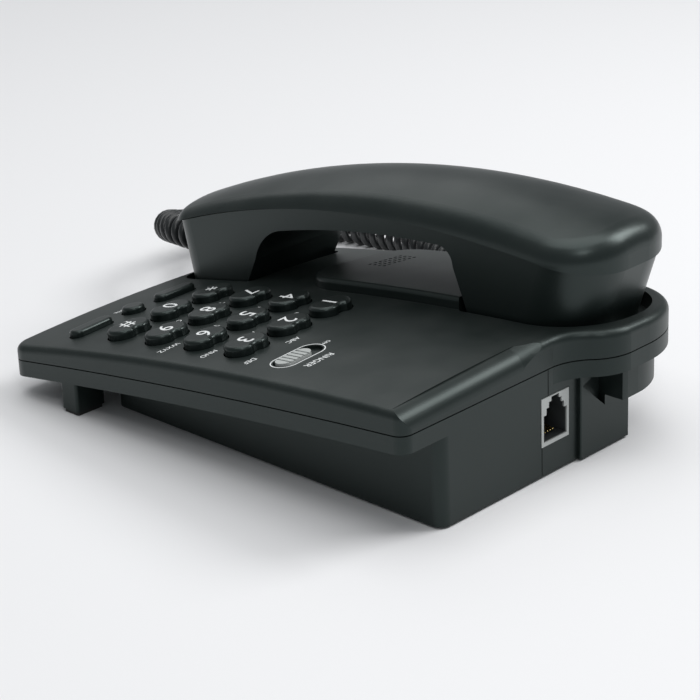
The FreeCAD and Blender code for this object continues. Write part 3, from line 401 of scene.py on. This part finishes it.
def mixed(tree, share, first, second):
    """Two colours mixed by a share."""
    node = tree.nodes.new("ShaderNodeMix")
    node.data_type = "RGBA"
    feed(tree, share, node.inputs["Factor"])
    feed(tree, first, node.inputs["A"])
    feed(tree, second, node.inputs["B"])
    return node.outputs["Result"]


def node_group(name, inputs, outputs):
    """A new shader group with its sockets, its input and its output node."""
    group = bpy.data.node_groups.new(name, "ShaderNodeTree")
    for label, kind, value in inputs:
        socket = group.interface.new_socket(name=label, in_out="INPUT", socket_type=kind)
        socket.default_value = value
    for label, kind in outputs:
        group.interface.new_socket(name=label, in_out="OUTPUT", socket_type=kind)
    enter = group.nodes.new("NodeGroupInput")
    leave = group.nodes.new("NodeGroupOutput")
    return group, enter, leave


def moulded_group():
    """Moulded plastic: a fine spark-eroded texture, and gloss that varies a little."""
    group, enter, leave = node_group(
        "MouldedSurface",
        [("Grain", "NodeSocketFloat", 2200.0), ("Gloss", "NodeSocketFloat", 0.38),
         ("Gloss Change", "NodeSocketFloat", 0.08)],
        [("Height", "NodeSocketFloat"), ("Roughness", "NodeSocketFloat")])
    feed(group, noise(group, enter.outputs["Grain"], grain_detail), leave.inputs["Height"])
    swing = reckon(group, "SUBTRACT", noise(group, cloud_scale, cloud_detail), 0.5)
    rough = reckon(group, "MULTIPLY_ADD", swing, enter.outputs["Gloss Change"],
                   enter.outputs["Gloss"])
    feed(group, rough, leave.inputs["Roughness"])
    return group


def dust_group():
    """A thin haze of dust that settles on what faces up."""
    group, enter, leave = node_group(
        "SettledDust",
        [("Base", "NodeSocketColor", (*rubber_black, 1)),
         ("Dust", "NodeSocketColor", (*dust_grey, 1)),
         ("Amount", "NodeSocketFloat", 0.05)],
        [("Color", "NodeSocketColor")])
    facing = group.nodes.new("ShaderNodeNewGeometry").outputs["Normal"]
    upward = fade(group, one_axis(group, facing, "Z"), *dust_facing)
    patchy = fade(group, noise(group, dust_scale, dust_detail), *dust_patches)
    where = reckon(group, "MULTIPLY", upward, patchy)
    share = reckon(group, "MULTIPLY", where, enter.outputs["Amount"])
    hazy = mixed(group, share, enter.outputs["Base"], enter.outputs["Dust"])
    feed(group, hazy, leave.inputs["Color"])
    return group


def shared(material, name, make):
    """A node in a material that holds a shared group, which is made when it is first used."""
    node = material.node_tree.nodes.new("ShaderNodeGroup")
    node.node_tree = bpy.data.node_groups.get(name) or make()
    return node


def plastic(name, colour, gloss=0.38, change=0.08, grain=2200.0, bump=0.05, dust=0.05,
            specular=0.5, tint=(1, 1, 1)):
    """A moulded plastic with its own grain, gloss and dust."""
    material = bpy.data.materials.new(name)
    material.use_nodes = True
    tree = material.node_tree
    shader = tree.nodes["Principled BSDF"]
    shader.inputs["Specular IOR Level"].default_value = specular
    shader.inputs["Specular Tint"].default_value = (*tint, 1)
    surface = shared(material, "MouldedSurface", moulded_group)
    surface.inputs["Grain"].default_value = grain
    surface.inputs["Gloss"].default_value = gloss
    surface.inputs["Gloss Change"].default_value = change
    raised = tree.nodes.new("ShaderNodeBump")
    raised.inputs["Strength"].default_value = bump
    raised.inputs["Distance"].default_value = grain_bump * MM
    feed(tree, surface.outputs["Height"], raised.inputs["Height"])
    feed(tree, surface.outputs["Roughness"], shader.inputs["Roughness"])
    feed(tree, raised.outputs["Normal"], shader.inputs["Normal"])
    settled = shared(material, "SettledDust", dust_group)
    settled.inputs["Base"].default_value = (*colour, 1)
    settled.inputs["Amount"].default_value = dust
    feed(tree, settled.outputs["Color"], shader.inputs["Base Color"])
    return material


def socket_plastic(colour):
    """The line socket's plastic: its own pale colour on the frame, and painted shade inside, where
    no light reaches.
    """
    material = plastic("SocketPlastic", colour, gloss=0.42, change=0.05, bump=0.03, dust=0.02)
    tree = material.node_tree
    base = tree.nodes["Principled BSDF"].inputs["Base Color"]
    pale = base.links[0].from_socket
    # Painted shade: dark inward of the rear wall's face, the socket's own pale colour outward
    place = tree.nodes.new("ShaderNodeTexCoord").outputs["Object"]
    outward = fade(tree, one_axis(tree, place, "Y"), (rear_y + socket_shade_from) * MM,
                   (rear_y + socket_shade_to) * MM)
    feed(tree, mixed(tree, outward, (*socket_painted_shade, 1), pale), base)
    return material


def metal(name, colour, gloss=0.3, change=0.15):
    """A metal with faint streaks in its gloss."""
    material = plastic(name, colour, gloss=gloss, change=change, grain=900.0, bump=0.03, dust=0.02)
    material.node_tree.nodes["Principled BSDF"].inputs["Metallic"].default_value = 1.0
    return material


def clear_plastic(name, colour):
    """A clear hard plastic."""
    material = plastic(name, colour, gloss=0.12, change=0.03, bump=0.01, dust=0.0)
    shader = material.node_tree.nodes["Principled BSDF"]
    shader.inputs["Transmission Weight"].default_value = plug_transmission
    return material


def finishes(colours):
    """Each finish of the carried-over pieces, with the pieces that take it."""
    number_keys = [face[0] for face in key_faces]
    return [
        (plastic("CasePlastic", colours.case, gloss=0.4, change=0.06, specular=0.42, tint=sheen),
         ["upper_case", "lower_case", "hook_plunger"]),
        (plastic("HandsetPlastic", colours.case, gloss=0.34, change=0.05, bump=0.035, tint=sheen),
         ["handset_top", "handset_bottom"]),
        (plastic("KeyPlastic", colours.key, gloss=0.3, change=0.05, bump=0.02, specular=0.42,
                 tint=sheen),
         [*number_keys, "left_function_key", "middle_function_key", "right_function_key"]),
        (plastic("GreyPlastic", colours.grey, gloss=0.45, change=0.05, bump=0.03),
         ["ringer_slider"]),
        (socket_plastic(colours.grey), ["line_jack"]),
        (plastic("SoftRubber", rubber_black, gloss=0.75, change=0.1, bump=0.15, dust=0.12),
         ["front_feet", "rear_feet"]),
        (plastic("KeypadRubber", mat_grey, gloss=0.6, change=0.05), ["keypad_mat"]),
        (plastic("CircuitBoard", board_green, gloss=0.4, change=0.1, grain=600.0),
         ["keypad_board", "main_board"]),
        (plastic("DullParts", parts_black, gloss=0.5, change=0.1),
         ["board_parts", "ringer_switch", "hook_switch", "base_cord_jack", "handset_cord_jack"]),
        (metal("Capsule", capsule_grey, gloss=0.4), ["ringer_speaker", "earpiece", "microphone"]),
        (metal("Steel", steel_grey, gloss=0.35),
         ["case_screws", "handset_screws", "base_weight", "handset_weight"]),
        (metal("ContactGold", contact_gold, gloss=0.2), ["line_jack_contacts"]),
        (clear_plastic("ClearPlug", plug_clear), ["handset_plug", "base_plug"]),
    ]


class PHONE_OT_finish(bpy.types.Operator):
    """Give every moulded, rubber and metal piece its finish"""

    bl_idname = "phone.finish"
    bl_label = "Finish the pieces"

    def execute(self, context):
        for material, names in finishes(context.scene.phone_colours):
            for name in names:
                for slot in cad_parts[name].material_slots:
                    slot.material = material
        return {"FINISHED"}


class PHONE_OT_key_print(bpy.types.Operator):
    """Paint the digits on the keys"""

    bl_idname = "phone.key_print"
    bl_label = "Print the keys"

    def execute(self, context):
        paint = plastic("PrintPaint", context.scene.phone_colours.print, gloss=0.5, change=0.05,
                        bump=0.0, dust=0.0)
        for node, digit, _, x, y in key_places():
            height = context.scene.phone_print.digit_height
            if digit == "*":
                height *= star_share
            words(digit, "digit_" + node, height, on_plate(x, y, key_rise), paint,
                  node)
        return {"FINISHED"}


class PHONE_OT_rear_seam(bpy.types.Operator):
    """Draw the parting lines of the rear wall, above and below the line socket, as thin strips of
    painted shade
    """

    bl_idname = "phone.rear_seam"
    bl_label = "Draw the rear parting lines"

    def execute(self, context):
        # Painted shade: near-black, barely reflecting strips stand for the shade in the rear
        # wall's parting lines
        dark = plastic("SeamShade", seam_painted_shade, gloss=0.8, change=0.05, bump=0.05, dust=0.0,
                       specular=0.1)
        for name, x, low, high in rear_seams:
            deselect()
            bpy.ops.mesh.primitive_cube_add(size=1)
            piece = bpy.context.object
            middle = Matrix.Translation(Vector((x, rear_y, (low + high) / 2)) * MM)
            size = Matrix.Diagonal((seam_width * MM, seam_depth * MM, (high - low) * MM, 1))
            settle(piece, name, middle @ size)
            coat(piece, dark, "base")
        return {"FINISHED"}


def plate_word(text, name, height, x, y):
    """Characters painted on the plate with their middle at x and y, in millimetres."""
    words(text, name, height, on_plate(x, y), bpy.data.materials["PrintPaint"],
          "base")


class PHONE_OT_plate_print(bpy.types.Operator):
    """Paint the letters beside the keys and the words of the switches"""

    bl_idname = "phone.plate_print"
    bl_label = "Print the plate"

    def execute(self, context):
        sizes = context.scene.phone_print
        small = sizes.letter_height
        for node, _, letters, x, y in key_places():
            if letters:
                plate_word(letters, "letters_" + node, small,
                           x + letters_beside[0], y + letters_beside[1])
        for x, word in zip(key_columns, function_words):
            plate_word(word, "word_" + word.lower(), small * function_word_share,
                       x, function_key_y - function_word_below)
        x, y = ringer_place
        ringer_outline(x, y, bpy.data.materials["PrintPaint"], sizes.thickness)
        plate_word("RINGER", "word_ringer", small * ringer_word_share, x, y + ringer_word_above)
        plate_word("OFF", "word_off", small * off_word_share, x - off_word_beside, y)
        return {"FINISHED"}


def oval_points(length, depth):
    """Corners of an oval with round ends, about its middle."""
    radius = depth / 2
    corners = []
    for side in (1, -1):
        for i in range(oval_steps + 1):
            angle = math.pi * (i / oval_steps - 0.5)
            reach = length / 2 - radius + radius * math.cos(angle)
            corners.append((side * reach, side * radius * math.sin(angle)))
    return corners


def ringer_outline(x, y, material, thickness):
    """The painted oval round the ringer switch."""
    length, depth = ringer_oval
    corners = []
    for grow in oval_grows:
        ring = oval_points(length + grow, depth + grow)
        for lift in (0.0, thickness / MM):
            corners += [(px, py, lift) for px, py in ring]
    count = len(ring)
    faces = []
    for a, b in ((0, 1), (1, 3), (3, 2), (2, 0)):
        for i in range(count):
            j = (i + 1) % count
            faces.append((a * count + i, a * count + j, b * count + j, b * count + i))
    mesh = bpy.data.meshes.new("ringer_outline")
    mesh.from_pydata([Vector(c) * MM for c in corners], [], faces)
    piece = bpy.data.objects.new("ringer_outline", mesh)
    bpy.context.scene.collection.objects.link(piece)
    settle(piece, "ringer_outline", on_plate(x, y))
    face_outwards(piece)
    coat(piece, material, "base")


def route_line():
    """Points along the smooth middle line of the cord, and their distances from its start."""
    curve = bpy.data.curves.new("cord_route", "CURVE")
    curve.dimensions = "3D"
    curve.resolution_u = route_steps
    spline = curve.splines.new("NURBS")
    spline.points.add(len(cord_route) - 1)
    for point, place in zip(spline.points, cord_route):
        point.co = (*(Vector(place) * MM), 1)
    spline.order_u = 3
    spline.use_endpoint_u = True
    holder = bpy.data.objects.new("cord_route", curve)
    bpy.context.scene.collection.objects.link(holder)
    bpy.context.view_layer.update()
    line = bpy.data.meshes.new_from_object(holder)
    points = [v.co.copy() for v in line.vertices]
    bpy.data.objects.remove(holder)
    reach = [0.0]
    for a, b in zip(points, points[1:]):
        reach.append(reach[-1] + (b - a).length)
    return points, reach


def along(points, reach, distance):
    """The point at a distance along a line."""
    distance = min(max(distance, 0.0), reach[-1])
    low, high = 0, len(reach) - 1
    while high - low > 1:
        half = (low + high) // 2
        if reach[half] <= distance:
            low = half
        else:
            high = half
    share = (distance - reach[low]) / max(reach[high] - reach[low], 1e-9)
    return points[low].lerp(points[high], share)


def curl_points(cord):
    """The wire's middle line: a straight lead, the curls, and a straight lead."""
    points, reach = route_line()
    lead = cord_lead * MM
    total = reach[-1]
    steps = cord.curls * points_per_curl
    mean = (cord.coil - cord.wire) / 2
    wire = [points[0].copy()]
    across = Vector((0, 0, 1))
    for i in range(steps + 1):
        distance = lead + (total - 2 * lead) * i / steps
        here = along(points, reach, distance)
        before = along(points, reach, distance - tangent_reach * MM)
        ahead = along(points, reach, distance + tangent_reach * MM) - before
        ahead.normalize()
        across = across - ahead * across.dot(ahead)
        across.normalize()
        up = ahead.cross(across)
        turns = cord.curls * i / steps
        ease = min(min(turns, cord.curls - turns), 1.0)
        ease = ease * ease * (3 - 2 * ease)
        angle = 2 * math.pi * turns
        outward = across * math.cos(angle) + up * math.sin(angle)
        wire.append(here + outward * mean * ease)
    wire.append(points[-1].copy())
    return wire


class PHONE_OT_cord(bpy.types.Operator):
    """Wind the curly cord between the handset and the base"""

    bl_idname = "phone.cord"
    bl_label = "Wind the cord"

    def execute(self, context):
        cord = context.scene.phone_cord
        wire = curl_points(cord)
        curve = bpy.data.curves.new("curly_cord_wire", "CURVE")
        curve.dimensions = "3D"
        curve.bevel_depth = cord.wire / 2
        curve.bevel_resolution = wire_steps
        curve.use_fill_caps = True
        spline = curve.splines.new("POLY")
        spline.points.add(len(wire) - 1)
        for point, place in zip(spline.points, wire):
            point.co = (*place, 1)
        holder = bpy.data.objects.new("curly_cord_wire", curve)
        bpy.context.scene.collection.objects.link(holder)
        select_only(holder)
        bpy.ops.object.convert(target="MESH")
        piece = settle(bpy.context.object, "curly_cord_wound")
        bpy.ops.object.shade_smooth()
        jacket = plastic("CordJacket", context.scene.phone_colours.cord, gloss=0.32, change=0.08,
                         bump=0.03)
        coat(piece, jacket, None)
        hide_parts("curly_cord")
        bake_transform(piece)
        return {"FINISHED"}


def studio_material(name, colour):
    """A matt surface."""
    material = bpy.data.materials.new(name)
    material.use_nodes = True
    shader = material.node_tree.nodes["Principled BSDF"]
    shader.inputs["Base Color"].default_value = (*colour, 1)
    shader.inputs["Roughness"].default_value = matt_roughness
    shader.inputs["Specular IOR Level"].default_value = matt_specular
    return material


class PHONE_OT_studio(bpy.types.Operator):
    """Set up the floor, the lamps, the world and the camera"""

    bl_idname = "phone.studio"
    bl_label = "Set the studio"

    def execute(self, context):
        self.floor()
        self.world(context)
        for lamp in studio_lamps:
            self.lamp(*lamp)
        self.camera(context)
        return {"FINISHED"}

    def floor(self):
        """The pale floor."""
        deselect()
        bpy.ops.mesh.primitive_plane_add(size=floor_size, location=(0, 0, 0))
        piece = settle(bpy.context.object, "studio_floor")
        piece.data.materials.append(studio_material("StudioFloor", floor_white))

    def world(self, context):
        """A soft light all round, behind which the camera sees a pale grey."""
        world = bpy.data.worlds.new("Studio")
        context.scene.world = world
        world.use_nodes = True
        tree = world.node_tree
        tree.nodes.clear()
        rays = tree.nodes.new("ShaderNodeLightPath")
        seen = reckon(tree, "MAXIMUM", rays.outputs["Is Camera Ray"],
                      rays.outputs["Is Transmission Ray"])
        lit = self.backdrop(tree, world_light, world_strength)
        shown = self.backdrop(tree, world_shown, 1.0)
        mix = tree.nodes.new("ShaderNodeMixShader")
        for source, socket in zip((seen, lit, shown), mix.inputs):
            feed(tree, source, socket)
        leave = tree.nodes.new("ShaderNodeOutputWorld")
        feed(tree, mix.outputs[0], leave.inputs["Surface"])

    def backdrop(self, tree, colour, strength):
        """A background of one colour."""
        node = tree.nodes.new("ShaderNodeBackground")
        node.inputs["Color"].default_value = (*colour, 1)
        node.inputs["Strength"].default_value = strength
        return node.outputs[0]

    def lamp(self, name, place, size, power):
        """A square lamp that shines at the middle of the floor."""
        deselect()
        bpy.ops.object.light_add(type="AREA", location=place)
        piece = bpy.context.object
        piece.name = name
        piece.data.size = size
        piece.data.energy = power
        piece.rotation_euler = (-Vector(place)).to_track_quat("-Z", "Y").to_euler()

    def camera(self, context):
        """The camera, at the photograph's place and angle."""
        studio = context.scene.phone_studio
        deselect()
        bpy.ops.object.camera_add(location=studio.place)
        camera = bpy.context.object
        camera.name = "photo_camera"
        a, e, r = studio.azimuth, studio.elevation, studio.roll
        back = Vector((math.sin(a) * math.cos(e), -math.cos(a) * math.cos(e), math.sin(e)))
        right = (-back).cross(Vector((0, 0, 1))).normalized()
        up = right.cross(-back)
        turned_right = right * math.cos(r) + up * math.sin(r)
        turned_up = up * math.cos(r) - right * math.sin(r)
        turn = Matrix((turned_right, turned_up, back)).transposed()
        camera.rotation_euler = turn.to_euler()
        camera.data.lens = studio.lens
        camera.data.sensor_width = sensor_width
        context.scene.camera = camera


class PHONE_PT_panel(bpy.types.Panel):
    """The telephone's sizes, colours and steps"""

    bl_label = "Telephone"
    bl_idname = "PHONE_PT_panel"
    bl_space_type = "VIEW_3D"
    bl_region_type = "UI"
    bl_category = "Telephone"

    def draw(self, context):
        for group in groups:
            box = self.layout.box()
            settings = getattr(context.scene, group)
            for name in settings.bl_rna.properties.keys():
                if name not in ("rna_type", "name"):
                    box.prop(settings, name)
        for step in steps:
            self.layout.operator(step.bl_idname)


groups = {"phone_colours": PhoneColours, "phone_print": PhonePrint, "phone_cord": PhoneCord,
          "phone_studio": PhoneStudio}
steps = [PHONE_OT_studio, PHONE_OT_finish, PHONE_OT_key_print, PHONE_OT_plate_print,
         PHONE_OT_rear_seam, PHONE_OT_cord]


def register():
    for group in groups.values():
        bpy.utils.register_class(group)
    for step in steps:
        bpy.utils.register_class(step)
    bpy.utils.register_class(PHONE_PT_panel)
    for name, group in groups.items():
        setattr(bpy.types.Scene, name, bpy.props.PointerProperty(type=group))


def unregister():
    for name in groups:
        delattr(bpy.types.Scene, name)
    bpy.utils.unregister_class(PHONE_PT_panel)
    for step in reversed(steps):
        bpy.utils.unregister_class(step)
    for group in reversed(list(groups.values())):
        bpy.utils.unregister_class(group)


def main():
    register()
    bpy.context.scene.view_settings.view_transform = "Standard"
    bpy.ops.phone.studio()
    bpy.ops.phone.finish()
    bpy.ops.phone.key_print()
    bpy.ops.phone.plate_print()
    bpy.ops.phone.rear_seam()
    bpy.ops.phone.cord()


if __name__ == "__main__":
    main()
